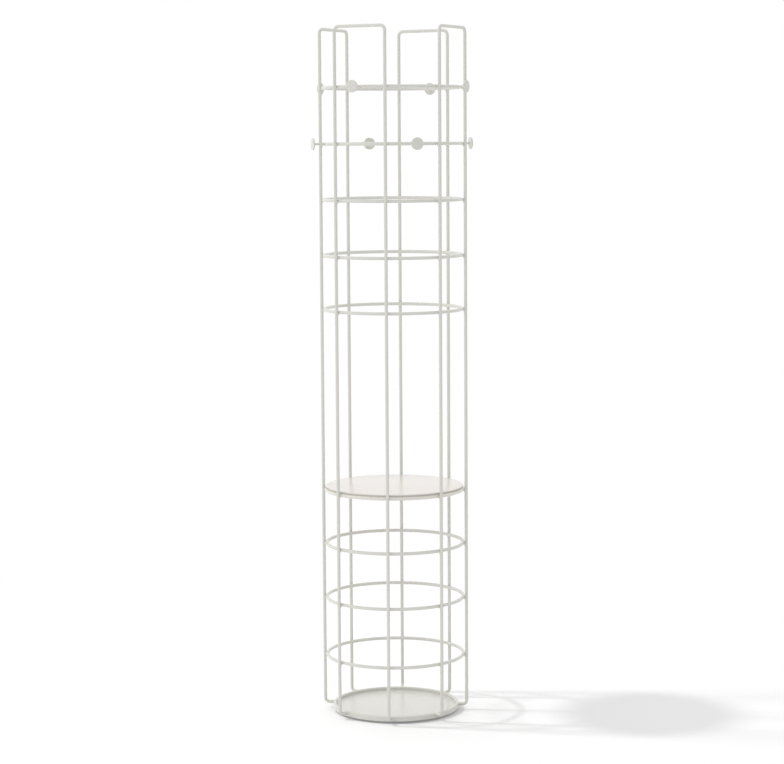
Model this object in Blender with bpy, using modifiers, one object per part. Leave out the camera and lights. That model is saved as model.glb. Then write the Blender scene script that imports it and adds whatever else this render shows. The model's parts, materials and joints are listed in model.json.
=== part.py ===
"""Free-standing wire coat stand.

Four bent wire hoops stand in a circle and carry welded wire rings. Disc hooks stick out of the two top
rings, a loose round shelf lies on a ring at hip height, and the hoops' legs run in to a heavy round base.
Metres, +Z up, origin on the floor under the stand's axis, front towards -Y.
"""

import math

import bmesh
import bpy
from mathutils import Matrix, Vector

# Cage of hoops
TOTAL_HEIGHT = 1.860
CAGE_DIAMETER = 0.400
WIRE_DIAMETER = 0.009
HOOP_WIDTH = 0.150
TOP_BEND_RADIUS = 0.0135
LEG_BEND_RADIUS = 0.0115
LEG_LENGTH = 0.023

# Rings, measured between wire centre lines
TOP_RING_DROP = 0.157
RING_PITCH = 0.1495
UPPER_LAST_STEP = 0.1455
LOWEST_RING_RISE = 0.1405
LOWER_FIRST_STEP = 0.159
SHELF_RING_STEP = 0.148

# Hooks
HOOK_PEG_DIAMETER = 0.006
HOOK_PEG_LENGTH = 0.0282
HOOK_DISC_DIAMETER = 0.033
HOOK_DISC_THICKNESS = 0.004
HOOK_EDGE_ROUND = 0.0008

# Loose shelf
SHELF_CLEARANCE = 0.004
SHELF_THICKNESS = 0.006
SHELF_EDGE_ROUND = 0.0008

# Base plate
BASE_RISE = 0.006
BASE_PLATE_THICKNESS = 0.005
BASE_EDGE_ROUND = 0.0010

# Feet and their screws
FOOT_INSET = 0.0375
FOOT_DIAMETER = 0.024
FOOT_TAPER = 0.0015
FOOT_RECESS_DIAMETER = 0.0092
FOOT_RECESS_DEPTH = 0.0032
SCREW_DIAMETER = 0.004
SCREW_HEAD_DIAMETER = 0.0076
SCREW_HEAD_HEIGHT = 0.0022
SCREW_SOCKET_WIDTH = 0.0025
SCREW_SOCKET_DEPTH = 0.0012
SCREW_HOLE_DEPTH = 0.0036
SCREW_TIP_GAP = 0.0005

# Clearances
CONTACT_GAP = 0.0003
CUT_OVERRUN = 0.001

# Fineness of the round forms
RING_SEGMENTS = 48
WIRE_SIDES = 8
HOOP_BEVEL_RESOLUTION = 4
BEND_STEPS = 6
PANEL_SEGMENTS = 72
DISC_SEGMENTS = 24
PEG_SEGMENTS = 12
FOOT_SEGMENTS = 20
SCREW_SEGMENTS = 12
SOCKET_SIDES = 6
DISC_EDGE_STEPS = 1
PANEL_EDGE_STEPS = 2
SMOOTH_ANGLE = math.radians(40)
SEAM_MERGE = 0.00001

# Finishes: colour, roughness, metallic
PAINT_FINISH = ((0.70, 0.70, 0.65), 0.45, 0.0)
BOARD_FINISH = ((0.86, 0.83, 0.79), 0.35, 0.0)
RUBBER_FINISH = ((0.03, 0.03, 0.03), 0.80, 0.0)
STEEL_FINISH = ((0.60, 0.60, 0.60), 0.30, 1.0)

# Sizes that follow from the driving dimensions
WIRE_RADIUS = WIRE_DIAMETER / 2
UPRIGHT_CIRCLE = CAGE_DIAMETER / 2 - WIRE_RADIUS
UPRIGHT_ANGLE = math.asin(HOOP_WIDTH / 2 / UPRIGHT_CIRCLE)
RING_CIRCLE = UPRIGHT_CIRCLE - WIRE_DIAMETER - CONTACT_GAP
BASE_RADIUS = UPRIGHT_CIRCLE - LEG_LENGTH
RIM_CIRCLE = BASE_RADIUS - WIRE_RADIUS
PLATE_TOP = BASE_RISE + BASE_PLATE_THICKNESS
LEG_HEIGHT = PLATE_TOP + CONTACT_GAP + WIRE_RADIUS
ARCH_HEIGHT = TOTAL_HEIGHT - WIRE_RADIUS
SHELF_RADIUS = UPRIGHT_CIRCLE - WIRE_RADIUS - SHELF_CLEARANCE
FOOT_CIRCLE = BASE_RADIUS - FOOT_INSET
SCREW_HOLE_DIAMETER = SCREW_DIAMETER + 2 * CONTACT_GAP

HOOK_RING_UPPER = ARCH_HEIGHT - TOP_RING_DROP
HOOK_RING_LOWER = HOOK_RING_UPPER - RING_PITCH
UPPER_RING_1 = HOOK_RING_LOWER - RING_PITCH
UPPER_RING_2 = UPPER_RING_1 - RING_PITCH
UPPER_RING_3 = UPPER_RING_2 - UPPER_LAST_STEP
LOWER_RING_3 = LEG_HEIGHT + LOWEST_RING_RISE
LOWER_RING_2 = LOWER_RING_3 + LOWER_FIRST_STEP
LOWER_RING_1 = LOWER_RING_2 + RING_PITCH
SHELF_RING = LOWER_RING_1 + SHELF_RING_STEP

RING_HEIGHTS = {
    "hook_ring_upper": HOOK_RING_UPPER,
    "hook_ring_lower": HOOK_RING_LOWER,
    "upper_ring_1": UPPER_RING_1,
    "upper_ring_2": UPPER_RING_2,
    "upper_ring_3": UPPER_RING_3,
    "shelf_ring": SHELF_RING,
    "lower_ring_1": LOWER_RING_1,
    "lower_ring_2": LOWER_RING_2,
    "lower_ring_3": LOWER_RING_3,
}

# Directions around the axis, counter-clockwise from +X
QUARTER = math.pi / 2
SIDES = {name: index * QUARTER for index, name in enumerate(("right", "back", "left", "front"))}
CORNER_NAMES = ("back_right", "back_left", "front_left", "front_right")
CORNERS = {name: (index + 0.5) * QUARTER for index, name in enumerate(CORNER_NAMES)}


def clear_scene():
    for obj in list(bpy.data.objects):
        bpy.data.objects.remove(obj, do_unlink=True)


def make_collection(name):
    collection = bpy.data.collections.new(name)
    bpy.context.scene.collection.children.link(collection)
    return collection


def make_material(name, finish):
    colour, roughness, metallic = finish
    material = bpy.data.materials.new(name)
    material.use_nodes = True
    shader = material.node_tree.nodes["Principled BSDF"]
    shader.inputs["Base Color"].default_value = (*colour, 1.0)
    shader.inputs["Roughness"].default_value = roughness
    shader.inputs["Metallic"].default_value = metallic
    return material


def add_object(name, data, collection, material=None, parent=None):
    obj = bpy.data.objects.new(name, data)
    collection.objects.link(obj)
    if material is not None:
        data.materials.append(material)
    if parent is not None:
        obj.parent = parent
    return obj


def add_cutter(name, mesh, collection):
    cutter = add_object(name, mesh, collection)
    cutter.hide_render = True
    cutter.display_type = "WIRE"
    return cutter


def cut(obj, cutter):
    boolean = obj.modifiers.new("Cut", "BOOLEAN")
    boolean.operation = "DIFFERENCE"
    boolean.solver = "EXACT"
    boolean.object = cutter


def round_edges(obj, width, segments):
    bevel = obj.modifiers.new("Rounded edge", "BEVEL")
    bevel.width = width
    bevel.segments = segments
    bevel.limit_method = "ANGLE"
    bevel.angle_limit = SMOOTH_ANGLE


def add_cylinder(bm, diameter, low, high, segments, centre=(0.0, 0.0)):
    """Add a capped cylinder that stands on z = low and ends at z = high."""
    place = Matrix.Translation((centre[0], centre[1], (low + high) / 2))
    radius = diameter / 2
    bmesh.ops.create_cone(bm, cap_ends=True, segments=segments, radius1=radius, radius2=radius,
                          depth=high - low, matrix=place)


def cylinder_mesh(name, diameter, low, high, segments):
    mesh = bpy.data.meshes.new(name)
    bm = bmesh.new()
    add_cylinder(bm, diameter, low, high, segments)
    bm.to_mesh(mesh)
    bm.free()
    mesh.shade_smooth()
    mesh.set_sharp_from_angle(angle=SMOOTH_ANGLE)
    return mesh


def turned_mesh(name, profile, closed):
    """Make a bare outline in the XZ plane, for a piece that is turned about its Z axis."""
    mesh = bpy.data.meshes.new(name)
    points = [(radius, 0.0, height) for radius, height in profile]
    edges = [(index, index + 1) for index in range(len(points) - 1)]
    if closed:
        edges.append((len(points) - 1, 0))
    mesh.from_pydata(points, edges, [])
    return mesh


def turn(obj, segments):
    screw = obj.modifiers.new("Turned", "SCREW")
    screw.axis = "Z"
    screw.angle = 2 * math.pi
    screw.steps = segments
    screw.render_steps = segments
    screw.use_merge_vertices = True
    screw.merge_threshold = SEAM_MERGE
    screw.use_smooth_shade = False


def bent_path(corners, radii, steps):
    """Return the points of a wire's centre line, with each inner corner bent to its radius."""
    points = [corners[0]]
    for before, corner, after, radius in zip(corners, corners[1:], corners[2:], radii):
        back = (before - corner).normalized()
        ahead = (after - corner).normalized()
        half_angle = back.angle(ahead) / 2
        reach = radius / math.tan(half_angle)
        centre = corner + (back + ahead).normalized() * radius / math.sin(half_angle)
        first = corner + back * reach - centre
        last = corner + ahead * reach - centre
        sweep = first.angle(last)
        axis = first.cross(last)
        for step in range(steps + 1):
            points.append(centre + Matrix.Rotation(sweep * step / steps, 3, axis) @ first)
    points.append(corners[-1])
    return points


def hoop_corners():
    """Return the sharp corners of a hoop's centre line, with the hoop's middle towards +X."""
    lower, upper = [], []
    for angle in (-UPRIGHT_ANGLE, UPRIGHT_ANGLE):
        outward = Vector((math.cos(angle), math.sin(angle), 0.0))
        foot = outward * UPRIGHT_CIRCLE
        leg_end = outward * (BASE_RADIUS + CONTACT_GAP)
        lower.append((leg_end + Vector((0, 0, LEG_HEIGHT)), foot + Vector((0, 0, LEG_HEIGHT))))
        upper.append(foot + Vector((0, 0, ARCH_HEIGHT)))
    return [*lower[0], upper[0], upper[1], lower[1][1], lower[1][0]]


def build_hoop(name, angle, collection, material):
    curve = bpy.data.curves.new(name, "CURVE")
    curve.dimensions = "3D"
    curve.bevel_depth = WIRE_RADIUS
    curve.bevel_resolution = HOOP_BEVEL_RESOLUTION
    curve.use_fill_caps = True
    radii = (LEG_BEND_RADIUS, TOP_BEND_RADIUS, TOP_BEND_RADIUS, LEG_BEND_RADIUS)
    points = bent_path(hoop_corners(), radii, BEND_STEPS)
    spline = curve.splines.new("POLY")
    spline.points.add(len(points) - 1)
    for spline_point, point in zip(spline.points, points):
        spline_point.co = (*point, 1.0)
    hoop = add_object(name, curve, collection, material)
    hoop.rotation_euler.z = angle


def build_ring(name, circle, height, collection, material):
    bpy.ops.mesh.primitive_torus_add(major_radius=circle, minor_radius=WIRE_RADIUS,
                                     major_segments=RING_SEGMENTS, minor_segments=WIRE_SIDES)
    ring = bpy.context.object
    ring.name = name
    ring.data.name = name
    for owner in list(ring.users_collection):
        owner.objects.unlink(ring)
    collection.objects.link(ring)
    ring.location.z = height
    ring.data.shade_smooth()
    ring.data.materials.append(material)


def build_hook(level, side, angle, height, collection, material):
    """Build a peg that stands out of a ring and the disc on its end, carried by an empty on the axis."""
    holder = add_object(f"{level}_hook_{side}", None, collection)
    holder.location.z = height
    holder.rotation_euler = (0.0, QUARTER, angle)

    peg_start = RING_CIRCLE + WIRE_RADIUS + CONTACT_GAP
    peg_end = peg_start + HOOK_PEG_LENGTH
    peg_name = f"{level}_hook_peg_{side}"
    peg_mesh = cylinder_mesh(peg_name, HOOK_PEG_DIAMETER, 0.0, HOOK_PEG_LENGTH, PEG_SEGMENTS)
    peg = add_object(peg_name, peg_mesh, collection, material, holder)
    peg.location.z = peg_start

    disc_name = f"{level}_hook_disc_{side}"
    disc_mesh = cylinder_mesh(disc_name, HOOK_DISC_DIAMETER, 0.0, HOOK_DISC_THICKNESS, DISC_SEGMENTS)
    disc = add_object(disc_name, disc_mesh, collection, material, holder)
    disc.location.z = peg_end + CONTACT_GAP
    round_edges(disc, HOOK_EDGE_ROUND, DISC_EDGE_STEPS)


def build_shelf(collection, material):
    mesh = cylinder_mesh("shelf_panel", 2 * SHELF_RADIUS, 0.0, SHELF_THICKNESS, PANEL_SEGMENTS)
    shelf = add_object("shelf_panel", mesh, collection, material)
    shelf.location.z = SHELF_RING + WIRE_RADIUS + CONTACT_GAP
    round_edges(shelf, SHELF_EDGE_ROUND, PANEL_EDGE_STEPS)


def build_base_plate(collection, cutters, material):
    mesh = cylinder_mesh("base_plate", 2 * BASE_RADIUS, 0.0, BASE_PLATE_THICKNESS, PANEL_SEGMENTS)
    plate = add_object("base_plate", mesh, collection, material)
    plate.location.z = BASE_RISE
    round_edges(plate, BASE_EDGE_ROUND, PANEL_EDGE_STEPS)

    holes = bpy.data.meshes.new("screw_holes")
    bm = bmesh.new()
    for angle in CORNERS.values():
        centre = (FOOT_CIRCLE * math.cos(angle), FOOT_CIRCLE * math.sin(angle))
        low = BASE_RISE - CUT_OVERRUN
        high = BASE_RISE + SCREW_HOLE_DEPTH
        add_cylinder(bm, SCREW_HOLE_DIAMETER, low, high, SCREW_SEGMENTS, centre)
    bm.to_mesh(holes)
    bm.free()
    cut(plate, add_cutter("screw_holes", holes, cutters))


def build_foot(corner, angle, collection, cutters, rubber, steel):
    """Build a turned rubber foot and the screw that holds it, carried by an empty on the floor."""
    holder = add_object(f"foot_place_{corner}", None, collection)
    holder.location = (FOOT_CIRCLE * math.cos(angle), FOOT_CIRCLE * math.sin(angle), 0.0)

    top = BASE_RISE - CONTACT_GAP
    radius = FOOT_DIAMETER / 2
    bore = SCREW_HOLE_DIAMETER / 2
    recess = FOOT_RECESS_DIAMETER / 2
    profile = [
        (radius, top),
        (radius - FOOT_TAPER, 0.0),
        (recess, 0.0),
        (recess, FOOT_RECESS_DEPTH),
        (bore, FOOT_RECESS_DEPTH),
        (bore, top),
    ]
    foot_name = f"foot_{corner}"
    foot = add_object(foot_name, turned_mesh(foot_name, profile, True), collection, rubber, holder)
    turn(foot, FOOT_SEGMENTS)

    head_top = FOOT_RECESS_DEPTH - CONTACT_GAP
    head_bottom = head_top - SCREW_HEAD_HEIGHT
    tip = BASE_RISE + SCREW_HOLE_DEPTH - SCREW_TIP_GAP
    profile = [
        (0.0, tip),
        (SCREW_DIAMETER / 2, tip),
        (SCREW_DIAMETER / 2, head_top),
        (SCREW_HEAD_DIAMETER / 2, head_top),
        (SCREW_HEAD_DIAMETER / 2, head_bottom),
        (0.0, head_bottom),
    ]
    screw_name = f"foot_screw_{corner}"
    screw = add_object(screw_name, turned_mesh(screw_name, profile, False), collection, steel, holder)
    turn(screw, SCREW_SEGMENTS)

    socket_name = f"socket_{corner}"
    socket_low = head_bottom - CUT_OVERRUN
    socket_top = head_bottom + SCREW_SOCKET_DEPTH
    across_corners = SCREW_SOCKET_WIDTH / math.cos(math.pi / SOCKET_SIDES)
    socket_mesh = cylinder_mesh(socket_name, across_corners, socket_low, socket_top, SOCKET_SIDES)
    socket = add_cutter(socket_name, socket_mesh, cutters)
    socket.parent = holder
    cut(screw, socket)


def main():
    clear_scene()
    parts = make_collection("coat_stand")
    cutters = make_collection("cutters")

    paint = make_material("pale_grey_paint", PAINT_FINISH)
    board = make_material("off_white_board", BOARD_FINISH)
    rubber = make_material("foot_rubber", RUBBER_FINISH)
    steel = make_material("screw_steel", STEEL_FINISH)

    for side, angle in SIDES.items():
        build_hoop(f"hoop_{side}", angle, parts, paint)
    for name, height in RING_HEIGHTS.items():
        build_ring(name, RING_CIRCLE, height, parts, paint)
    for side, angle in SIDES.items():
        build_hook("upper", side, angle, HOOK_RING_UPPER, parts, paint)
    for corner, angle in CORNERS.items():
        build_hook("lower", corner, angle, HOOK_RING_LOWER, parts, paint)
    build_shelf(parts, board)
    build_base_plate(parts, cutters, paint)
    build_ring("base_rim", RIM_CIRCLE, LEG_HEIGHT, parts, paint)
    for corner, angle in CORNERS.items():
        build_foot(corner, angle, parts, cutters, rubber, steel)


main()
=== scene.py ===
"""Finish for a free-standing wire coat stand, laid out as an add-on.

Every wire, hook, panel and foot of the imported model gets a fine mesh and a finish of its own, the welds
that hold the wires together are added, and the stand is set on a pale studio floor. Metres, +Z up, in the
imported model's own frame.
"""

import json
import math

import bmesh
import bpy
from bpy.props import FloatProperty, FloatVectorProperty, IntProperty, PointerProperty
from bpy.types import Operator, Panel, PropertyGroup
from mathutils import Euler, Matrix, Vector, noise

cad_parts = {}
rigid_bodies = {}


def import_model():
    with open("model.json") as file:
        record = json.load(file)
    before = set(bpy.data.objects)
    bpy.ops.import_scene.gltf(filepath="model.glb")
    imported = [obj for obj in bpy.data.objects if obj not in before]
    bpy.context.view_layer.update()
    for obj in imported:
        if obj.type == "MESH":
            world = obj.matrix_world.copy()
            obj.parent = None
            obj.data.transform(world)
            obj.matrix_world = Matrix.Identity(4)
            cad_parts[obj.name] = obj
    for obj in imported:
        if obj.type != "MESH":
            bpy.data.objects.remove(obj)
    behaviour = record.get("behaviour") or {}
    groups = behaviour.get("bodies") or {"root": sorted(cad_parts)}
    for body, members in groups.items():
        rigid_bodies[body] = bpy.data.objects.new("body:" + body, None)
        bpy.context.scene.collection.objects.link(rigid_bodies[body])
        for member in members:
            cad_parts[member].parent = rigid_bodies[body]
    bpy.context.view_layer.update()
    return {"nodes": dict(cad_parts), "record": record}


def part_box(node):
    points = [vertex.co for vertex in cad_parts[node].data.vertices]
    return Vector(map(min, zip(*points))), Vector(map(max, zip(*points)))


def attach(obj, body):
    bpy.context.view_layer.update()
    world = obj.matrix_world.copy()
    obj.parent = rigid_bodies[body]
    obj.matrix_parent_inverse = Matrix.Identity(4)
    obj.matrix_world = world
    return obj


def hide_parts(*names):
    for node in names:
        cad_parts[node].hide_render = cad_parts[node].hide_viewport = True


bl_info = {
    "name": "Coat Stand Finish",
    "version": (1, 0, 0),
    "blender": (4, 5, 0),
    "location": "3D View > Sidebar > Coat Stand",
    "description": "Builds a wire coat stand's wires, welds, hooks, shelf and base with their finishes",
    "category": "Object",
}

for leftover in list(bpy.data.objects):
    bpy.data.objects.remove(leftover, do_unlink=True)

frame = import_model()


def tenth(length):
    """Round a length read from the frame to a tenth of a millimetre."""
    return round(length, 4)


def reach(node, direction):
    """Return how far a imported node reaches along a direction, at its near and far end."""
    reaches = [vertex.co.dot(direction) for vertex in frame["nodes"][node].data.vertices]
    return tenth(min(reaches)), tenth(max(reaches))


def thickness(node, direction):
    """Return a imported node's size along a direction."""
    near, far = reach(node, direction)
    return far - near


def around(angle):
    """Return the level direction at an angle about the stand's axis."""
    return Vector((math.cos(angle), math.sin(angle), 0.0))


UP = Vector((0.0, 0.0, 1.0))
SIDES = ("right", "back", "left", "front")
CORNERS = ("back_right", "back_left", "front_left", "front_right")
SIDE_ANGLES = {name: math.radians(90 * step) for step, name in enumerate(SIDES)}
CORNER_ANGLES = {name: math.radians(45 + 90 * step) for step, name in enumerate(CORNERS)}
BODY_OF = {node: body for body, nodes in frame["record"]["behaviour"]["bodies"].items() for node in nodes}
RINGS = [node for node in frame["nodes"] if "_ring" in node]

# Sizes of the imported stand
CONTACT_GAP = 0.0003
WIRE_DIAMETER = tenth(thickness("shelf_ring", UP))
WIRE_RADIUS = WIRE_DIAMETER / 2
RING_CIRCLE = reach("shelf_ring", around(0))[1] - WIRE_RADIUS
RIM_CIRCLE = reach("base_rim", around(0))[1] - WIRE_RADIUS
UPRIGHT_CIRCLE = RING_CIRCLE + WIRE_DIAMETER + CONTACT_GAP
HOOP_HALF_WIDTH = reach("hoop_right", around(math.pi / 2))[1] - WIRE_RADIUS
UPRIGHT_TURN = math.asin(HOOP_HALF_WIDTH / UPRIGHT_CIRCLE)
UPRIGHT_TURNS = (-UPRIGHT_TURN, UPRIGHT_TURN)
UPRIGHT_ANGLES = [angle + turn for angle in SIDE_ANGLES.values() for turn in UPRIGHT_TURNS]
ARCH_HEIGHT = reach("hoop_right", UP)[1] - WIRE_RADIUS
LEG_HEIGHT = reach("hoop_right", UP)[0] + WIRE_RADIUS
BOARD_RADIUS = reach("shelf_panel", around(0))[1]
BOARD_BOTTOM, BOARD_TOP = reach("shelf_panel", UP)
PLATE_RADIUS = reach("base_plate", around(0))[1]
PLATE_BOTTOM, PLATE_TOP = reach("base_plate", UP)

# Fineness of the meshes
SHARP_ANGLE = math.radians(40)
CORNER_STEPS = 6
PEG_SEGMENTS = 40
DISC_SEGMENTS = 96
PANEL_SEGMENTS = 256
FOOT_SEGMENTS = 72
SCREW_SEGMENTS = 48
HOLE_SEGMENTS = 32
HEXAGON_SIDES = 6
FLOOR_SEGMENTS = 128
SEAM_STEPS = 96
WELD_SUBDIVISIONS = 4

# Start of a cutter outside its piece
CUT_MARGIN = 0.001

# Forms of the welds
WELD_SINK = 0.00008
WELD_SEARCH_STEPS = 60
WELD_SEARCH_HALVINGS = 12
WELD_TAPER = 3
RIPPLE_RATE = 3.1
HOOK_WELD_REACH = 0.006
PEG_OVERLAP = 0.001
DISC_WELD_SHARE = 0.7
RIM_SEAM_REACH = 0.0058

# Looks that several finishes share
SHEEN_DRIFT = 0.1
COAT_IOR = 1.48
WHITE = (1.0, 1.0, 1.0, 1.0)


class WireSettings(PropertyGroup):
    """Bent wire of the hoops and rings."""

    diameter: FloatProperty(
        name="Diameter", description="Thickness of the wire", default=WIRE_DIAMETER, unit="LENGTH"
    )
    top_bend: FloatProperty(
        name="Top bend", description="Bend radius at a hoop's top corners", default=0.0135, unit="LENGTH"
    )
    leg_bend: FloatProperty(
        name="Leg bend",
        description="Bend radius where an upright turns in to the base",
        default=0.0115,
        unit="LENGTH",
    )
    bend_steps: IntProperty(name="Bend steps", description="Straight runs in one bend", default=14, min=2)
    sides: IntProperty(name="Sides", description="Faces round the wire", default=28, min=6)
    ring_segments: IntProperty(
        name="Ring segments", description="Straight runs in one ring", default=192, min=24
    )


class WeldSettings(PropertyGroup):
    """Small fillet welds at the wire joints."""

    ring_fillet: FloatProperty(
        name="Ring fillet",
        description="Width of the weld below a ring at an upright",
        default=0.0100,
        unit="LENGTH",
    )
    ring_tack: FloatProperty(
        name="Ring tack", description="Width of the same weld above the ring", default=0.0008, unit="LENGTH"
    )
    leg_fillet: FloatProperty(
        name="Leg fillet", description="Width of the weld at a leg and the rim", default=0.0048, unit="LENGTH"
    )
    hook_fillet: FloatProperty(
        name="Hook fillet",
        description="Width of the weld at the ends of a hook peg",
        default=0.0026,
        unit="LENGTH",
    )
    rim_fillet: FloatProperty(
        name="Rim fillet",
        description="Width of the seam between rim and base plate",
        default=0.0043,
        unit="LENGTH",
    )
    unevenness: FloatProperty(
        name="Unevenness", description="Height of the ripple on a weld", default=0.00016, unit="LENGTH"
    )
    least: FloatProperty(name="Least size", description="Least share of a weld's full size", default=0.94)
    seed: IntProperty(name="Seed", description="Picks the welds' sizes", default=7)


class PaintSettings(PropertyGroup):
    """Powder coat on the wires, hooks and base plate."""

    colour: FloatVectorProperty(
        name="Colour",
        description="Pale warm grey",
        default=(0.646, 0.643, 0.599),
        subtype="COLOR",
        min=0,
        max=1,
    )
    # The ring under the shelf is coloured a shade paler and warmer than the other wires.
    shelf_ring: FloatVectorProperty(
        name="Shelf ring",
        description="Coat of the ring that carries the shelf, a shade paler and warmer",
        default=(0.700, 0.675, 0.622),
        subtype="COLOR",
        min=0,
        max=1,
    )
    roughness: FloatProperty(name="Roughness", description="Satin sheen", default=0.24, min=0, max=1)
    peel_size: FloatProperty(
        name="Peel size", description="Width of one dimple in the coat", default=0.0011, unit="LENGTH"
    )
    peel_depth: FloatProperty(
        name="Peel depth", description="Depth of the dimples", default=0.000022, precision=6, unit="LENGTH"
    )


class HookSettings(PropertyGroup):
    """Pegs and discs of the hooks."""

    peg_edge: FloatProperty(
        name="Peg edge", description="Rounding of a peg's ends", default=0.0004, unit="LENGTH"
    )
    disc_edge: FloatProperty(
        name="Disc edge", description="Rounding of a disc's rim", default=0.0011, unit="LENGTH"
    )


class ShelfSettings(PropertyGroup):
    """Loose lacquered shelf."""

    colour: FloatVectorProperty(
        name="Colour",
        description="Warm off-white",
        default=(0.680, 0.645, 0.608),
        subtype="COLOR",
        min=0,
        max=1,
    )
    # Painted shade: the lower band of the shelf's edge takes this darker colour, which stands for the shadow
    # in the gap between the shelf and the ring under it.
    core: FloatVectorProperty(
        name="Core",
        description="Bare core at the edge",
        default=(0.465, 0.437, 0.392),
        subtype="COLOR",
        min=0,
        max=1,
    )
    roughness: FloatProperty(name="Roughness", description="Satin lacquer", default=0.22, min=0, max=1)
    # The shelf's edge keeps the shelf's own colour this far below the top, and the painted shade begins below
    # it.
    skin: FloatProperty(
        name="Skin", description="Thickness of the lacquered top layer", default=0.0024, unit="LENGTH"
    )
    edge_round: FloatProperty(
        name="Edge round", description="Rounding of the shelf's edges", default=0.0008, unit="LENGTH"
    )


class BaseSettings(PropertyGroup):
    """Base plate, feet and their screws."""

    edge_round: FloatProperty(
        name="Edge round", description="Rounding of the plate's edges", default=0.0010, unit="LENGTH"
    )
    foot_taper: FloatProperty(
        name="Foot taper", description="Narrowing of a foot towards the floor", default=0.0015, unit="LENGTH"
    )
    foot_edge: FloatProperty(
        name="Foot edge", description="Rounding of a foot's edges", default=0.0006, unit="LENGTH"
    )
    recess: FloatProperty(
        name="Recess", description="Radius of the recess for a screw's head", default=0.0046, unit="LENGTH"
    )
    recess_edge: FloatProperty(
        name="Recess edge", description="Rounding of the recess's mouth", default=0.0002, unit="LENGTH"
    )
    recess_depth: FloatProperty(
        name="Recess depth", description="Depth of the recess in a foot", default=0.0032, unit="LENGTH"
    )
    bore: FloatProperty(
        name="Bore", description="Radius of a foot's hole for the shank", default=0.0023, unit="LENGTH"
    )
    screw_edge: FloatProperty(
        name="Screw edge", description="Rounding of a screw's head and tip", default=0.0004, unit="LENGTH"
    )
    socket_width: FloatProperty(
        name="Socket width", description="Key size of a screw's socket", default=0.0025, unit="LENGTH"
    )
    socket_depth: FloatProperty(
        name="Socket depth", description="Depth of a screw's socket", default=0.0012, unit="LENGTH"
    )
    rubber: FloatVectorProperty(
        name="Rubber",
        description="Colour of the feet",
        default=(0.022, 0.022, 0.022),
        subtype="COLOR",
        min=0,
        max=1,
    )
    steel: FloatVectorProperty(
        name="Steel",
        description="Colour of the screws",
        default=(0.60, 0.60, 0.58),
        subtype="COLOR",
        min=0,
        max=1,
    )


class StageSettings(PropertyGroup):
    """Floor, light and camera."""

    azimuth: FloatProperty(
        name="Azimuth",
        description="Camera's turn from the front",
        default=math.radians(28.111),
        subtype="ANGLE",
    )
    distance: FloatProperty(
        name="Distance", description="Camera to the stand's axis", default=6.2067, unit="LENGTH"
    )
    height: FloatProperty(name="Height", description="Camera above the floor", default=1.5625, unit="LENGTH")
    pitch: FloatProperty(
        name="Pitch", description="Camera's tilt", default=math.radians(-6.0488), subtype="ANGLE"
    )
    yaw: FloatProperty(
        name="Yaw", description="Aim beside the axis", default=math.radians(0.0495), subtype="ANGLE"
    )
    roll: FloatProperty(
        name="Roll", description="Camera's lean", default=math.radians(-0.3608), subtype="ANGLE"
    )
    lens: FloatProperty(name="Lens", description="Focal length in millimetres", default=105.47)
    lamp_place: FloatVectorProperty(
        name="Lamp place",
        description="Lamp's place to the right of the stand, towards the camera and above the floor",
        default=(-2.91, -0.33, 3.2),
        unit="LENGTH",
    )
    lamp_strength: FloatProperty(
        name="Lamp strength", description="Light that falls square on the floor", default=1.98
    )
    lamp_radius: FloatProperty(
        name="Lamp radius", description="A larger lamp gives softer shadows", default=0.19, unit="LENGTH"
    )
    room_strength: FloatProperty(name="Room strength", description="Light from all round", default=1.098)
    room_lean: FloatVectorProperty(
        name="Room lean",
        description="Share by which the room is brighter to the right, towards the camera and overhead",
        default=(-0.316, -0.390, 0.199),
    )
    floor_radius: FloatProperty(
        name="Floor radius", description="Size of the floor", default=12.0, unit="LENGTH"
    )
    floor_fade: FloatProperty(
        name="Floor fade",
        description="Distance at which the floor starts to pass into white",
        default=1.15,
        unit="LENGTH",
    )
    floor_glow: FloatProperty(
        name="Floor glow",
        description="Share of plain white in the floor near the stand",
        default=0.18,
        min=0,
        max=1,
    )
    floor_colour: FloatVectorProperty(
        name="Floor colour",
        description="Colour of the floor",
        default=(0.618, 0.618, 0.618),
        subtype="COLOR",
        min=0,
        max=1,
    )


class CoatStandSettings(PropertyGroup):
    """All settings of the stand."""

    wire: PointerProperty(type=WireSettings)
    weld: PointerProperty(type=WeldSettings)
    paint: PointerProperty(type=PaintSettings)
    hook: PointerProperty(type=HookSettings)
    shelf: PointerProperty(type=ShelfSettings)
    base: PointerProperty(type=BaseSettings)
    stage: PointerProperty(type=StageSettings)


def settings():
    """Return the scene's settings of the stand."""
    return bpy.context.scene.coat_stand


# Node trees

NODE_SPACING = 220


def add(tree, kind, inputs=None, **values):
    """Add a node, set its properties, then link or set its inputs."""
    node = tree.nodes.new(kind)
    node.location = (NODE_SPACING * len(tree.nodes), 0)
    for key, value in values.items():
        setattr(node, key, value)
    for key, value in (inputs or {}).items():
        if isinstance(value, bpy.types.NodeSocket):
            tree.links.new(value, node.inputs[key])
        else:
            node.inputs[key].default_value = value
    return node


def new_group(name, kind, inputs, outputs):
    """Make an empty node group with named sockets and return it with its inner ends."""
    tree = bpy.data.node_groups.new(name, kind)
    for side, sockets in (("INPUT", inputs), ("OUTPUT", outputs)):
        for label, socket in sockets.items():
            tree.interface.new_socket(name=label, in_out=side, socket_type=f"NodeSocket{socket}")
    return tree, add(tree, "NodeGroupInput").outputs, add(tree, "NodeGroupOutput").inputs


def close_geometry(tree, geometry, coat, result):
    """End a geometry tree: smooth faces, plain mesh, one material."""
    smooth = add(tree, "GeometryNodeSetShadeSmooth", {"Geometry": geometry})
    plain = add(tree, "GeometryNodeRealizeInstances", {"Geometry": smooth.outputs[0]})
    painted = add(tree, "GeometryNodeSetMaterial", {"Geometry": plain.outputs[0], "Material": coat})
    tree.links.new(painted.outputs[0], result)


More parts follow.
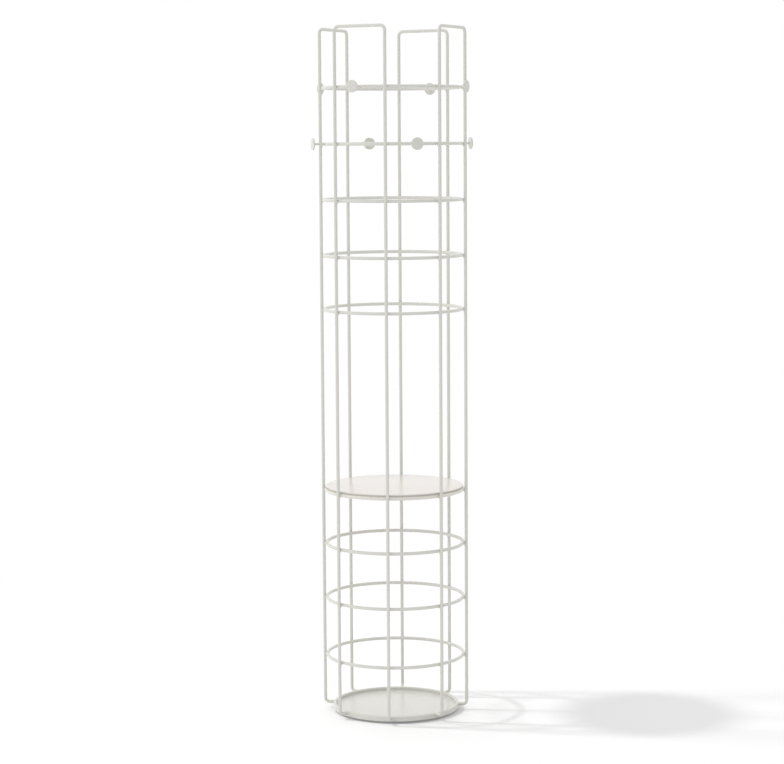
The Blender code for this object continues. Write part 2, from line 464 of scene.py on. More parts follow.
def wire_profile(tree, diameter, sides):
    """Add the wire's round section to a tree."""
    radius = add(tree, "ShaderNodeMath", {0: diameter, 1: 2.0}, operation="DIVIDE")
    circle = add(
        tree, "GeometryNodeCurvePrimitiveCircle", {"Resolution": sides, "Radius": radius.outputs[0]}
    )
    return circle.outputs["Curve"]


def bent_wire_tree():
    """A path of straight runs becomes a wire, bent at each corner to the radius stored there."""
    tree, given, result = new_group(
        "Bent Wire",
        "GeometryNodeTree",
        {
            "Path": "Geometry",
            "Wire Diameter": "Float",
            "Bend Steps": "Int",
            "Sides": "Int",
            "Coat": "Material",
        },
        {"Wire": "Geometry"},
    )
    path = add(tree, "GeometryNodeMeshToCurve", {"Mesh": given["Path"]})
    bend = add(tree, "GeometryNodeInputNamedAttribute", {"Name": "bend_radius"}, data_type="FLOAT")
    bent = add(
        tree,
        "GeometryNodeFilletCurve",
        {"Curve": path.outputs["Curve"], "Radius": bend.outputs["Attribute"], "Count": given["Bend Steps"]},
        mode="POLY",
    )
    profile = wire_profile(tree, given["Wire Diameter"], given["Sides"])
    tube = add(
        tree,
        "GeometryNodeCurveToMesh",
        {"Curve": bent.outputs["Curve"], "Profile Curve": profile, "Fill Caps": True},
    )
    close_geometry(tree, tube.outputs["Mesh"], given["Coat"], result["Wire"])
    return tree


def wire_ring_tree():
    """A closed level ring of wire about the stand's axis."""
    tree, given, result = new_group(
        "Wire Ring",
        "GeometryNodeTree",
        {
            "Circle": "Float",
            "Height": "Float",
            "Wire Diameter": "Float",
            "Segments": "Int",
            "Sides": "Int",
            "Coat": "Material",
        },
        {"Ring": "Geometry"},
    )
    path = add(
        tree,
        "GeometryNodeCurvePrimitiveCircle",
        {"Resolution": given["Segments"], "Radius": given["Circle"]},
    )
    lift = add(tree, "ShaderNodeCombineXYZ", {"Z": given["Height"]})
    lifted = add(
        tree,
        "GeometryNodeTransform",
        {"Geometry": path.outputs["Curve"], "Translation": lift.outputs[0]},
    )
    profile = wire_profile(tree, given["Wire Diameter"], given["Sides"])
    tube = add(tree, "GeometryNodeCurveToMesh", {"Curve": lifted.outputs[0], "Profile Curve": profile})
    close_geometry(tree, tube.outputs["Mesh"], given["Coat"], result["Ring"])
    return tree


def weld_tree():
    """One weld on every point, turned as stored there, each a little different in size."""
    tree, given, result = new_group(
        "Welds",
        "GeometryNodeTree",
        {
            "Joints": "Geometry",
            "Weld": "Object",
            "Least Size": "Float",
            "Seed": "Int",
            "Coat": "Material",
        },
        {"Welds": "Geometry"},
    )
    points = add(tree, "GeometryNodeMeshToPoints", {"Mesh": given["Joints"]})
    shape = add(tree, "GeometryNodeObjectInfo", {"Object": given["Weld"]})
    turn = add(tree, "GeometryNodeInputNamedAttribute", {"Name": "turn"}, data_type="FLOAT_VECTOR")
    rotation = add(tree, "FunctionNodeEulerToRotation", {"Euler": turn.outputs["Attribute"]})
    size = add(tree, "FunctionNodeRandomValue", {2: given["Least Size"], 3: 1.0, "Seed": given["Seed"]})
    placed = add(
        tree,
        "GeometryNodeInstanceOnPoints",
        {
            "Points": points.outputs[0],
            "Instance": shape.outputs["Geometry"],
            "Rotation": rotation.outputs[0],
            "Scale": size.outputs[1],
        },
    )
    close_geometry(tree, placed.outputs[0], given["Coat"], result["Welds"])
    return tree


def geometry_tree(name):
    """Return a geometry tree, building it the first time it is asked for."""
    builders = {"Bent Wire": bent_wire_tree, "Wire Ring": wire_ring_tree, "Welds": weld_tree}
    return bpy.data.node_groups.get(name) or builders[name]()


# Finishes


def skin_group():
    """Fine dimples and slow cloudiness of a sprayed or moulded skin."""
    name = "Skin"
    if name in bpy.data.node_groups:
        return bpy.data.node_groups[name]
    tree, given, result = new_group(
        name,
        "ShaderNodeTree",
        {"Place": "Vector", "Dimple Size": "Float", "Cloud Size": "Float"},
        {"Height": "Float", "Cloud": "Float"},
    )
    for label, size, detail in (("Height", "Dimple Size", 2.0), ("Cloud", "Cloud Size", 3.0)):
        scale = add(tree, "ShaderNodeMath", {0: 1.0, 1: given[size]}, operation="DIVIDE")
        spots = add(
            tree,
            "ShaderNodeTexNoise",
            {"Vector": given["Place"], "Scale": scale.outputs[0], "Detail": detail, "Roughness": 0.5},
        )
        tree.links.new(spots.outputs[0], result[label])
    return tree


def new_material(name):
    """Return a new material, its tree, its shader and the piece's own coordinates."""
    material = bpy.data.materials.new(name)
    material.use_nodes = True
    tree = material.node_tree
    shader = tree.nodes["Principled BSDF"]
    return material, tree, shader, add(tree, "ShaderNodeTexCoord").outputs["Object"]


def shade(colour, factor):
    """Return a colour made lighter or darker, with its alpha."""
    return (*(min(channel * factor, 1.0) for channel in colour), 1.0)


def cloudy_finish(name, colour, spread, roughness, dimple, depth, cloud):
    """Make a skin whose colour and sheen drift in clouds, with fine dimples.

    The spread is the colour's drift to each side as a share, and the dimples' size and depth and the
    clouds' size are lengths.
    """
    material, tree, shader, place = new_material(name)
    skin = add(
        tree,
        "ShaderNodeGroup",
        {"Place": place, "Dimple Size": dimple, "Cloud Size": cloud},
        node_tree=skin_group(),
    )
    tint = add(
        tree,
        "ShaderNodeMix",
        {0: skin.outputs["Cloud"], 6: shade(colour, 1 - spread), 7: shade(colour, 1 + spread)},
        data_type="RGBA",
    )
    sheen = add(
        tree,
        "ShaderNodeMapRange",
        {
            "Value": skin.outputs["Cloud"],
            "To Min": roughness * (1 - SHEEN_DRIFT),
            "To Max": roughness * (1 + SHEEN_DRIFT),
        },
    )
    bump = add(
        tree, "ShaderNodeBump", {"Height": skin.outputs["Height"], "Distance": depth, "Strength": 1.0}
    )
    tree.links.new(tint.outputs[2], shader.inputs["Base Color"])
    tree.links.new(sheen.outputs[0], shader.inputs["Roughness"])
    tree.links.new(bump.outputs[0], shader.inputs["Normal"])
    return material, shader


def sprayed(name, colour):
    """Return a sprayed coat, mixed the first time it is asked for."""
    paint = settings().paint
    made = bpy.data.materials.get(name)
    if made is None:
        made, shader = cloudy_finish(
            name,
            colour,
            spread=0.012,
            roughness=paint.roughness,
            dimple=paint.peel_size,
            depth=paint.peel_depth,
            cloud=0.035,
        )
        shader.inputs["IOR"].default_value = COAT_IOR
    return made


def powder_coat():
    return sprayed("powder_coat", settings().paint.colour)


# The ring under the shelf is coloured a shade paler and warmer than the other wires.
def shelf_ring_coat():
    return sprayed("shelf_ring_coat", settings().paint.shelf_ring)


def lacquered_board():
    shelf = settings().shelf
    made, shader = cloudy_finish(
        "lacquered_board",
        shelf.colour,
        spread=0.008,
        roughness=shelf.roughness,
        dimple=0.0007,
        depth=0.000008,
        cloud=0.06,
    )
    shader.inputs["IOR"].default_value = COAT_IOR
    return made


# Painted shade for the lower band of the shelf's edge, darker where the gap between shelf and ring lies in
# shadow.
def board_core():
    made, _ = cloudy_finish(
        "board_core",
        settings().shelf.core,
        spread=0.10,
        roughness=0.62,
        dimple=0.0003,
        depth=0.00002,
        cloud=0.006,
    )
    return made


def moulded_rubber():
    made, shader = cloudy_finish(
        "moulded_rubber",
        settings().base.rubber,
        spread=0.18,
        roughness=0.78,
        dimple=0.0004,
        depth=0.00003,
        cloud=0.004,
    )
    shader.inputs["Specular IOR Level"].default_value = 0.35
    return made


def plated_steel():
    made, shader = cloudy_finish(
        "plated_steel",
        settings().base.steel,
        spread=0.06,
        roughness=0.32,
        dimple=0.00025,
        depth=0.000006,
        cloud=0.002,
    )
    shader.inputs["Metallic"].default_value = 1.0
    return made


# Meshes


def new_piece(name, mesh):
    """Put a mesh into the scene under a name."""
    piece = bpy.data.objects.new(name, mesh)
    bpy.context.scene.collection.objects.link(piece)
    return piece


def finished_mesh(name, bm):
    """Turn a mesh under edit into a plain one."""
    mesh = bpy.data.meshes.new(name)
    bm.to_mesh(mesh)
    bm.free()
    return mesh


def point_mesh(name, points, edges, attribute, kind, values):
    """Make a mesh of bare points and edges that carries one value on each point."""
    mesh = bpy.data.meshes.new(name)
    mesh.from_pydata(points, edges, [])
    layer = mesh.attributes.new(attribute, kind, "POINT")
    for item, value in zip(layer.data, values):
        setattr(item, "vector" if kind == "FLOAT_VECTOR" else "value", value)
    return mesh


def settle(piece):
    """Replace a piece's mesh by what its modifiers make of it, and remove them."""
    depsgraph = bpy.context.evaluated_depsgraph_get()
    made = bpy.data.meshes.new_from_object(piece.evaluated_get(depsgraph), depsgraph=depsgraph)
    start = piece.data
    piece.modifiers.clear()
    piece.data = made
    bpy.data.meshes.remove(start)
    made.name = piece.name
    made.set_sharp_from_angle(angle=SHARP_ANGLE)
    return piece


def grow(piece, tree_name, values):
    """Run a geometry tree on a piece with named input values and keep the plain mesh."""
    tree = geometry_tree(tree_name)
    modifier = piece.modifiers.new(tree_name, "NODES")
    modifier.node_group = tree
    for item in tree.interface.items_tree:
        if item.in_out == "INPUT" and item.name in values:
            modifier[item.identifier] = values[item.name]
    return settle(piece)


def rounded(corners):
    """Return an outline of (radius, height) points from corners of (radius, height, rounding)."""
    outline = []
    for index, (radius, height, rounding) in enumerate(corners):
        corner = Vector((radius, height))
        if rounding == 0:
            outline.append(corner)
            continue
        before = (Vector(corners[index - 1][:2]) - corner).normalized()
        after = (Vector(corners[(index + 1) % len(corners)][:2]) - corner).normalized()
        half = before.angle(after) / 2
        centre = corner + (before + after).normalized() * rounding / math.sin(half)
        start = corner + before * rounding / math.tan(half) - centre
        sweep = start.angle_signed(corner + after * rounding / math.tan(half) - centre)
        for step in range(CORNER_STEPS + 1):
            outline.append(centre + Matrix.Rotation(-sweep * step / CORNER_STEPS, 2) @ start)
    return outline


def turned_mesh(name, outline, segments, place, material, closed=False):
    """Turn an outline about Z and put the mesh in place.

    The outline runs clockwise, with its radius to the right, so that the faces point outwards. A point on
    the axis gives a single vertex, and a closed outline ends where it starts.
    """
    points, rows = [], []
    for radius, height in outline:
        count = segments if radius > 0 else 1
        rows.append([len(points) + step % count for step in range(segments + 1)])
        angles = (2 * math.pi * step / segments for step in range(count))
        points.extend(around(angle) * radius + UP * height for angle in angles)
    followers = rows[1:] + rows[:1] if closed else rows[1:]
    faces = []
    for row, follower in zip(rows, followers):
        for step in range(segments):
            corners = (row[step], follower[step], follower[step + 1], row[step + 1])
            faces.append(list(dict.fromkeys(corners)))
    mesh = bpy.data.meshes.new(name)
    mesh.from_pydata(points, [], faces)
    mesh.transform(place)
    mesh.materials.append(material)
    mesh.shade_smooth()
    mesh.set_sharp_from_angle(angle=SHARP_ANGLE)
    return mesh


def outward_place(angle, distance, height):
    """Return the place at a distance from the stand's axis whose Z axis points level and outwards."""
    turn = Matrix.Rotation(angle, 4, "Z") @ Matrix.Rotation(math.pi / 2, 4, "Y")
    return Matrix.Translation(around(angle) * distance + UP * height) @ turn


def cut(piece, cutter):
    """Take a cutter's shape out of a piece and remove the cutter."""
    boolean = piece.modifiers.new("Cut", "BOOLEAN")
    boolean.operation = "DIFFERENCE"
    boolean.object = cutter
    settle(piece)
    bpy.data.objects.remove(cutter, do_unlink=True)


def prism(name, diameter, low, high, sides, centres):
    """Make one cutter of upright prisms at several places."""
    bm = bmesh.new()
    for centre in centres:
        place = Matrix.Translation((centre.x, centre.y, (low + high) / 2))
        bmesh.ops.create_cone(
            bm,
            cap_ends=True,
            segments=sides,
            radius1=diameter / 2,
            radius2=diameter / 2,
            depth=high - low,
            matrix=place,
        )
    return new_piece(name, finished_mesh(name, bm))


def dress(piece, node):
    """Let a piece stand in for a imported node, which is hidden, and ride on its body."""
    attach(piece, BODY_OF[node])
    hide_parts(node)


# Welds


def wire_surface(axis, offset, radius):
    """Return a function for the distance from a point to a long wire."""
    return lambda point: ((point - offset) - (point - offset).project(axis)).length - radius


def peg_surface(axis, start, radius):
    """Return a function for the distance from a point to a peg that runs from a start along an axis."""

    def distance(point):
        along = (point - start).dot(axis)
        aside = ((point - start) - axis * along).length - radius
        return max(aside, -along)

    return distance


def weld_reach(direction, first, second, fillet, farthest):
    """Return how far a weld reaches in one direction from the middle of its joint.

    The weld fills a smooth blend of two surfaces, as wide as the fillet. It stays a little below that
    blend, so that its rim runs under both surfaces.
    """

    def filled(length):
        near, far = sorted((first(direction * length), second(direction * length)))
        share = max(fillet - (far - near), 0.0) / fillet
        return near - share * share * fillet / 4 < -WELD_SINK

    low = 0.0
    step = farthest / WELD_SEARCH_STEPS
    while low + step < farthest and filled(low + step):
        low += step
    high = low + step
    for _ in range(WELD_SEARCH_HALVINGS):
        middle = (low + high) / 2
        low, high = (middle, high) if filled(middle) else (low, middle)
    return low


def weld_shape(name, first, second, fillet, farthest, unevenness, tack=None):
    """Make a weld that runs smoothly from one surface to another, with its middle at the origin.

    With a tack width, the weld narrows to it from its lower side to its upper side.
    """
    upper = fillet if tack is None else tack
    bm = bmesh.new()
    bmesh.ops.create_icosphere(bm, subdivisions=WELD_SUBDIVISIONS, radius=1.0)
    for vertex in bm.verts:
        direction = vertex.co.normalized()
        ripple = noise.noise(direction * RIPPLE_RATE) * unevenness
        width = upper + (fillet - upper) * ((1 - direction.z) / 2) ** WELD_TAPER
        vertex.co = direction * (weld_reach(direction, first, second, width, farthest) + ripple)
    return new_piece(name, finished_mesh(name, bm))


def place_welds(name, shape, joints):
    """Put a weld on every joint, given as a point and an angle about the stand's axis."""
    weld = settings().weld
    points = [point for point, _ in joints]
    turns = [Euler((0.0, 0.0, angle)) for _, angle in joints]
    piece = new_piece(name, point_mesh(name, points, [], "turn", "FLOAT_VECTOR", turns))
    grow(
        piece,
        "Welds",
        {"Weld": shape, "Least Size": weld.least, "Seed": weld.seed, "Coat": powder_coat()},
    )
    bpy.data.objects.remove(shape, do_unlink=True)
    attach(piece, "frame")


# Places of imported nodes


def middle_height(node):
    return sum(reach(node, UP)) / 2


def node_middle(node):
    low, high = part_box(node)
    return (low + high) / 2


def hook_nodes():
    """Yield each hook's peg node, disc node and angle."""
    for level, angles in (("upper", SIDE_ANGLES), ("lower", CORNER_ANGLES)):
        for side, angle in angles.items():
            yield f"{level}_hook_peg_{side}", f"{level}_hook_disc_{side}", angle


def screw_sizes(node):
    """Read a foot screw's head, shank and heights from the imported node."""
    middle = node_middle(node)
    low, high = reach(node, UP)
    rings = {}
    for vertex in frame["nodes"][node].data.vertices:
        radius = tenth(math.hypot(vertex.co.x - middle.x, vertex.co.y - middle.y))
        rings.setdefault(tenth(vertex.co.z), set()).add(radius)
    head_top = min(height for height, radii in rings.items() if height > low and len(radii) > 1)
    return {
        "low": low,
        "high": high,
        "head_top": head_top,
        "head": max(rings[head_top]),
        "shank": max(rings[high]),
    }


# Operators


class COATSTAND_OT_hoops(Operator):
    """Bend the four hoops with their inturned legs"""

    bl_idname = "coat_stand.hoops"
    bl_label = "Build Hoops"

    def execute(self, context):
        wire = context.scene.coat_stand.wire
        leg_end = RIM_CIRCLE + WIRE_RADIUS - CONTACT_GAP
        for side, angle in SIDE_ANGLES.items():
            first, second = (around(angle + turn) for turn in UPRIGHT_TURNS)
            corners = [
                first * leg_end + UP * LEG_HEIGHT,
                first * UPRIGHT_CIRCLE + UP * LEG_HEIGHT,
                first * UPRIGHT_CIRCLE + UP * ARCH_HEIGHT,
                second * UPRIGHT_CIRCLE + UP * ARCH_HEIGHT,
                second * UPRIGHT_CIRCLE + UP * LEG_HEIGHT,
                second * leg_end + UP * LEG_HEIGHT,
            ]
            runs = [(index, index + 1) for index in range(len(corners) - 1)]
            bends = [0.0, wire.leg_bend, wire.top_bend, wire.top_bend, wire.leg_bend, 0.0]
            name = f"hoop_{side}_wire"
            piece = new_piece(name, point_mesh(name, corners, runs, "bend_radius", "FLOAT", bends))
            grow(
                piece,
                "Bent Wire",
                {
                    "Wire Diameter": wire.diameter,
                    "Bend Steps": wire.bend_steps,
                    "Sides": wire.sides,
                    "Coat": powder_coat(),
                },
            )
            dress(piece, f"hoop_{side}")
        return {"FINISHED"}


class COATSTAND_OT_rings(Operator):
    """Roll the nine rings and the rim of the base"""

    bl_idname = "coat_stand.rings"
    bl_label = "Build Rings"

    def execute(self, context):
        wire = context.scene.coat_stand.wire
        for node in [*RINGS, "base_rim"]:
            name = f"{node}_wire"
            piece = new_piece(name, bpy.data.meshes.new(name))
            grow(
                piece,
                "Wire Ring",
                {
                    "Circle": reach(node, around(0))[1] - WIRE_RADIUS,
                    "Height": middle_height(node),
                    "Wire Diameter": wire.diameter,
                    "Segments": wire.ring_segments,
                    "Sides": wire.sides,
                    "Coat": shelf_ring_coat() if node == "shelf_ring" else powder_coat(),
                },
            )
            dress(piece, node)
        return {"FINISHED"}


class COATSTAND_OT_hooks(Operator):
    """Turn the eight disc hooks and their pegs"""

    bl_idname = "coat_stand.hooks"
    bl_label = "Build Hooks"

    def execute(self, context):
        hook = context.scene.coat_stand.hook
        for peg, disc, angle in hook_nodes():
            self.turn_part(peg, angle, hook.peg_edge, PEG_SEGMENTS)
            self.turn_part(disc, angle, hook.disc_edge, DISC_SEGMENTS)
        return {"FINISHED"}

    def turn_part(self, node, angle, edge, segments):
        """Turn a peg or a disc, a short round bar with rounded ends."""
        radius = thickness(node, UP) / 2
        length = thickness(node, around(angle))
        outline = rounded([(0, length, 0), (radius, length, edge), (radius, 0, edge), (0, 0, 0)])
        place = outward_place(angle, reach(node, around(angle))[0], middle_height(node))
        name = f"{node}_turned"
        piece = new_piece(name, turned_mesh(name, outline, segments, place, powder_coat()))
        dress(piece, node)


class COATSTAND_OT_shelf(Operator):
    """Cut the loose round shelf"""

    bl_idname = "coat_stand.shelf"
    bl_label = "Build Shelf"

    def execute(self, context):
        shelf = context.scene.coat_stand.shelf
        edge = shelf.edge_round
        seam = BOARD_TOP - shelf.skin
        outline = rounded(
            [
                (0, BOARD_TOP, 0),
                (BOARD_RADIUS, BOARD_TOP, edge),
                (BOARD_RADIUS, seam, 0),
                (BOARD_RADIUS, BOARD_BOTTOM, edge),
                (0, BOARD_BOTTOM, 0),
            ]
        )
        name = "shelf_board_round"
        mesh = turned_mesh(name, outline, PANEL_SEGMENTS, Matrix.Identity(4), lacquered_board())
        # Edge faces below the seam take the painted shade that stands for the shadow in the gap between the
        # shelf and the ring.
        mesh.materials.append(board_core())
        straight_down = -0.99
        for face in mesh.polygons:
            if face.center.z < seam and face.normal.z > straight_down:
                face.material_index = 1
        piece = new_piece(name, mesh)
        dress(piece, "shelf_panel")
        return {"FINISHED"}


class COATSTAND_OT_base(Operator):
    """Cut the base plate, with blind holes for the foot screws"""

    bl_idname = "coat_stand.base"
    bl_label = "Build Base"

    def execute(self, context):
        edge = context.scene.coat_stand.base.edge_round
        outline = rounded(
            [
                (0, PLATE_TOP, 0),
                (PLATE_RADIUS, PLATE_TOP, edge),
                (PLATE_RADIUS, PLATE_BOTTOM, edge),
                (0, PLATE_BOTTOM, 0),
            ]
        )
        name = "base_plate_disc"
        mesh = turned_mesh(name, outline, PANEL_SEGMENTS, Matrix.Identity(4), powder_coat())
        piece = new_piece(name, mesh)
        cut(piece, self.screw_holes())
        dress(piece, "base_plate")
        return {"FINISHED"}

    def screw_holes(self):
        """Return the cutter for the screws' blind holes, a contact gap wider and deeper than they are."""
        screws = [f"foot_screw_{corner}" for corner in CORNERS]
        diameter = 2 * (screw_sizes(screws[0])["shank"] + CONTACT_GAP)
        tip = reach(screws[0], UP)[1] + CONTACT_GAP
        centres = [node_middle(screw) for screw in screws]
        return prism("screw_holes", diameter, PLATE_BOTTOM - CUT_MARGIN, tip, HOLE_SEGMENTS, centres)


class COATSTAND_OT_feet(Operator):
    """Mould the rubber feet and turn their socket screws"""

    bl_idname = "coat_stand.feet"
    bl_label = "Build Feet"

    def execute(self, context):
        base = context.scene.coat_stand.base
        rubber = moulded_rubber()
        steel = plated_steel()
        for corner in CORNERS:
            self.build_foot(f"foot_{corner}", base, rubber)
            self.build_screw(f"foot_screw_{corner}", base, steel)
        return {"FINISHED"}

    def build_foot(self, node, base, rubber):
        middle = node_middle(node)
        low, high = reach(node, UP)
        radius = tenth(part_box(node)[1].x - middle.x)
        shoulder = low + base.recess_depth
        outline = rounded(
            [
                (radius, high, base.foot_edge),
                (radius - base.foot_taper, low, base.foot_edge),
                (base.recess, low, base.recess_edge),
                (base.recess, shoulder, 0),
                (base.bore, shoulder, 0),
                (base.bore, high, 0),
            ]
        )
        place = Matrix.Translation((middle.x, middle.y, 0.0))
        name = f"{node}_moulded"
        piece = new_piece(name, turned_mesh(name, outline, FOOT_SEGMENTS, place, rubber, closed=True))
        dress(piece, node)

    def build_screw(self, node, base, steel):
        middle = node_middle(node)
        size = screw_sizes(node)
        low = size["low"]
        outline = rounded(
            [
                (0, size["high"], 0),
                (size["shank"], size["high"], base.screw_edge),
                (size["shank"], size["head_top"], 0),
                (size["head"], size["head_top"], 0),
                (size["head"], low, base.screw_edge),
                (0, low, 0),
            ]
        )
        place = Matrix.Translation((middle.x, middle.y, 0.0))
        name = f"{node}_socket_head"
        piece = new_piece(name, turned_mesh(name, outline, SCREW_SEGMENTS, place, steel))
        across_corners = base.socket_width / math.cos(math.pi / HEXAGON_SIDES)
        end = low + base.socket_depth
        cut(piece, prism("socket", across_corners, low - CUT_MARGIN, end, HEXAGON_SIDES, [middle]))
        dress(piece, node)


class COATSTAND_OT_welds(Operator):
    """Run the welds at the rings, legs, hook pegs and rim"""

    bl_idname = "coat_stand.welds"
    bl_label = "Build Welds"

    outward = around(0)
    aside = around(math.pi / 2)

    def execute(self, context):
        weld = context.scene.coat_stand.weld
        self.ring_welds(weld)
        self.leg_welds(weld)
        self.hook_welds(weld)
        self.rim_seam(weld, context.scene.coat_stand.base.edge_round)
        return {"FINISHED"}

    def ring_welds(self, weld):
        """Weld each ring to the eight uprights."""
        apart = WIRE_RADIUS + CONTACT_GAP / 2
        upright = wire_surface(UP, self.outward * apart, WIRE_RADIUS)
        ring = wire_surface(self.aside, -self.outward * apart, WIRE_RADIUS)
        fillet = weld.ring_fillet
        shape = weld_shape("ring_weld", upright, ring, fillet, fillet, weld.unevenness, weld.ring_tack)
        joint = (UPRIGHT_CIRCLE + RING_CIRCLE) / 2
        joints = [
            (around(angle) * joint + UP * middle_height(node), angle)
            for node in RINGS
            for angle in UPRIGHT_ANGLES
        ]
        place_welds("ring_welds", shape, joints)

    def leg_welds(self, weld):
        """Weld each leg to the rim of the base."""
        leg = peg_surface(self.outward, Vector(), WIRE_RADIUS)
        rim = wire_surface(self.aside, -self.outward * WIRE_RADIUS, WIRE_RADIUS)
        shape = weld_shape("leg_weld", leg, rim, weld.leg_fillet, WIRE_DIAMETER, weld.unevenness)
        joint = RIM_CIRCLE + WIRE_RADIUS
        joints = [(around(angle) * joint + UP * LEG_HEIGHT, angle) for angle in UPRIGHT_ANGLES]
        place_welds("leg_welds", shape, joints)

    def hook_welds(self, weld):
        """Weld each peg to its ring at one end and to its disc at the other."""
        roots, ends = [], []
        for peg, disc, angle in hook_nodes():
            out = around(angle)
            lift = UP * middle_height(peg)
            roots.append((out * reach(peg, out)[0] + lift, angle))
            ends.append((out * reach(disc, out)[0] + lift, angle))
        # All the hooks are alike, so the last one gives the sizes
        radius = thickness(peg, UP) / 2
        depth = DISC_WELD_SHARE * thickness(disc, out)
        overlap = self.outward * PEG_OVERLAP
        root = peg_surface(self.outward, -overlap, radius)
        ring = wire_surface(self.aside, -self.outward * (WIRE_RADIUS + CONTACT_GAP), WIRE_RADIUS)
        shape = weld_shape("peg_weld", root, ring, weld.hook_fillet, HOOK_WELD_REACH, weld.unevenness)
        place_welds("hook_peg_welds", shape, roots)

        def disc_surface(point):
            return max(-point.x, point.x - depth)

        end = peg_surface(-self.outward, overlap, radius)
        shape = weld_shape(
            "disc_weld", end, disc_surface, weld.hook_fillet, HOOK_WELD_REACH, weld.unevenness
        )
        place_welds("hook_disc_welds", shape, ends)

    def rim_seam(self, weld, edge):
        """Fill the notch between the rim and the rounded edge of the base plate all round."""
        middle = Vector((RIM_CIRCLE, 0.0, PLATE_TOP + CONTACT_GAP / 2))
        rim_centre = Vector((RIM_CIRCLE, 0.0, LEG_HEIGHT))

        def rim(point):
            return (middle + point - rim_centre).length - WIRE_RADIUS

        def plate(point):
            out = (middle + point).x - PLATE_RADIUS + edge
            up = (middle + point).z - PLATE_TOP + edge
            return math.hypot(max(out, 0), max(up, 0)) + min(max(out, up), 0) - edge

        outline = []
        for step in range(SEAM_STEPS):
            angle = -2 * math.pi * step / SEAM_STEPS
            direction = Vector((math.cos(angle), 0.0, math.sin(angle)))
            point = middle + direction * weld_reach(direction, rim, plate, weld.rim_fillet, RIM_SEAM_REACH)
            outline.append((point.x, point.z))
        name = "rim_seam"
        place = Matrix.Identity(4)
        mesh = turned_mesh(name, outline, PANEL_SEGMENTS, place, powder_coat(), closed=True)
        piece = new_piece(name, mesh)
        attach(piece, "frame")


def stage_vector(stage, parts):
    """Return the vector with given parts to the camera's right, towards the camera and up."""
    right, near, up = parts
    return around(stage.azimuth) * right + around(stage.azimuth - math.pi / 2) * near + UP * up


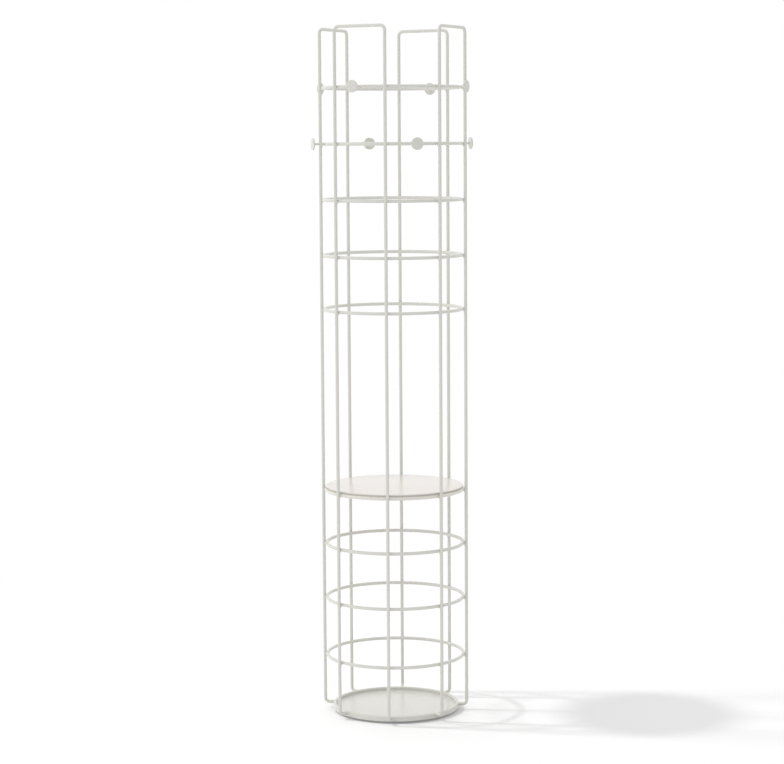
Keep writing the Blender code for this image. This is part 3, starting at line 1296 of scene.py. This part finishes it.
class COATSTAND_OT_stage(Operator):
    """Lay the floor and set the light and the camera"""

    bl_idname = "coat_stand.stage"
    bl_label = "Set Stage"

    def execute(self, context):
        stage = context.scene.coat_stand.stage
        floor = self.lay_floor(stage)
        self.light_room(context.scene, stage)
        self.hang_lamp(context.scene, stage, floor)
        self.set_camera(context.scene, stage)
        context.scene.view_settings.view_transform = "Standard"
        return {"FINISHED"}

    def seen(self, tree):
        """Return a mask that is 1 for what the camera sees, also in gloss and through glass."""
        path = add(tree, "ShaderNodeLightPath").outputs
        mask = path["Is Camera Ray"]
        for other in ("Is Glossy Ray", "Is Transmission Ray"):
            mask = add(tree, "ShaderNodeMath", {0: mask, 1: path[other]}, operation="MAXIMUM").outputs[0]
        return mask

    def lay_floor(self, stage):
        """Lay a matt floor that keeps the stand's shadow and passes into plain white farther out."""
        name = "studio_floor"
        bm = bmesh.new()
        bmesh.ops.create_circle(bm, cap_ends=True, segments=FLOOR_SEGMENTS, radius=stage.floor_radius)
        mesh = finished_mesh(name, bm)
        material, tree, shader, place = new_material(name)
        tree.nodes.remove(shader)
        matt = add(tree, "ShaderNodeBsdfDiffuse", {"Color": (*stage.floor_colour, 1.0)})
        white = add(tree, "ShaderNodeEmission", {"Color": WHITE})
        distance = add(tree, "ShaderNodeVectorMath", {0: place}, operation="LENGTH")
        fade = add(
            tree,
            "ShaderNodeMapRange",
            {
                "Value": distance.outputs["Value"],
                "From Min": stage.floor_fade,
                "From Max": 2 * stage.floor_fade,
                "To Min": stage.floor_glow,
            },
            interpolation_type="SMOOTHSTEP",
        )
        share = add(tree, "ShaderNodeMath", {0: fade.outputs[0], 1: self.seen(tree)}, operation="MULTIPLY")
        mixed = add(
            tree, "ShaderNodeMixShader", {0: share.outputs[0], 1: matt.outputs[0], 2: white.outputs[0]}
        )
        tree.links.new(mixed.outputs[0], tree.nodes["Material Output"].inputs["Surface"])
        mesh.materials.append(material)
        floor = new_piece(name, mesh)
        return floor

    def light_room(self, scene, stage):
        """Light the stand from all round, more from one side, while the camera sees plain white."""
        scene.world = bpy.data.worlds.new("studio_room")
        scene.world.use_nodes = True
        tree = scene.world.node_tree
        place = add(tree, "ShaderNodeTexCoord").outputs["Generated"]
        lean = stage_vector(stage, stage.room_lean)
        side = add(tree, "ShaderNodeVectorMath", {0: place, 1: lean}, operation="DOT_PRODUCT")
        level = add(
            tree,
            "ShaderNodeMath",
            {0: side.outputs["Value"], 1: stage.room_strength, 2: stage.room_strength},
            operation="MULTIPLY_ADD",
        )
        strength = add(tree, "ShaderNodeMix", {0: self.seen(tree), 2: level.outputs[0], 3: 1.0})
        background = tree.nodes["Background"]
        background.inputs["Color"].default_value = WHITE
        tree.links.new(strength.outputs[0], background.inputs["Strength"])

    def hang_lamp(self, scene, stage, floor):
        """Hang a lamp that lights the floor alone and lays the stand's shadow on it.

        Its light doesn't weaken with distance, so the floor stays even.
        """
        lamp = bpy.data.lights.new("studio_lamp", "POINT")
        lamp.energy = 4 * math.pi * stage.lamp_strength
        lamp.shadow_soft_size = stage.lamp_radius
        lamp.use_nodes = True
        tree = lamp.node_tree
        even = add(tree, "ShaderNodeLightFalloff", {"Strength": 1.0})
        tree.links.new(even.outputs["Constant"], tree.nodes["Emission"].inputs["Strength"])
        holder = bpy.data.objects.new("studio_lamp", lamp)
        holder.location = stage_vector(stage, stage.lamp_place)
        scene.collection.objects.link(holder)
        lit = bpy.data.collections.new("lit_by_lamp")
        lit.objects.link(floor)
        holder.light_linking.receiver_collection = lit

    def set_camera(self, scene, stage):
        """Set the camera to the photograph's view of the stand."""
        data = bpy.data.cameras.new("photo_camera")
        data.lens = stage.lens
        data.clip_end = 200.0
        camera = bpy.data.objects.new("photo_camera", data)
        place = around(stage.azimuth - math.pi / 2) * stage.distance + UP * stage.height
        aim = Matrix.Rotation(stage.azimuth + stage.yaw, 4, "Z")
        tilt = Matrix.Rotation(math.pi / 2 + stage.pitch, 4, "X")
        lean = Matrix.Rotation(stage.roll, 4, "Z")
        camera.matrix_world = Matrix.Translation(place) @ aim @ tilt @ lean
        scene.collection.objects.link(camera)
        scene.camera = camera


class COATSTAND_PT_panel(Panel):
    """Settings and building steps of the coat stand"""

    bl_idname = "COATSTAND_PT_panel"
    bl_label = "Coat Stand"
    bl_space_type = "VIEW_3D"
    bl_region_type = "UI"
    bl_category = "Coat Stand"

    def draw(self, context):
        for group in CoatStandSettings.__annotations__:
            values = getattr(context.scene.coat_stand, group)
            box = self.layout.box()
            box.label(text=group.capitalize())
            for name in values.__annotations__:
                box.prop(values, name)
        for step in STEPS:
            self.layout.operator(step.bl_idname)


STEPS = (
    COATSTAND_OT_hoops,
    COATSTAND_OT_rings,
    COATSTAND_OT_hooks,
    COATSTAND_OT_shelf,
    COATSTAND_OT_base,
    COATSTAND_OT_feet,
    COATSTAND_OT_welds,
    COATSTAND_OT_stage,
)
CLASSES = (
    WireSettings,
    WeldSettings,
    PaintSettings,
    HookSettings,
    ShelfSettings,
    BaseSettings,
    StageSettings,
    CoatStandSettings,
    *STEPS,
    COATSTAND_PT_panel,
)


def register():
    for cls in CLASSES:
        bpy.utils.register_class(cls)
    bpy.types.Scene.coat_stand = PointerProperty(type=CoatStandSettings)


def unregister():
    del bpy.types.Scene.coat_stand
    for cls in reversed(CLASSES):
        bpy.utils.unregister_class(cls)


def main():
    register()
    for step in STEPS:
        group, name = step.bl_idname.split(".")
        getattr(getattr(bpy.ops, group), name)()


if __name__ == "__main__":
    main()
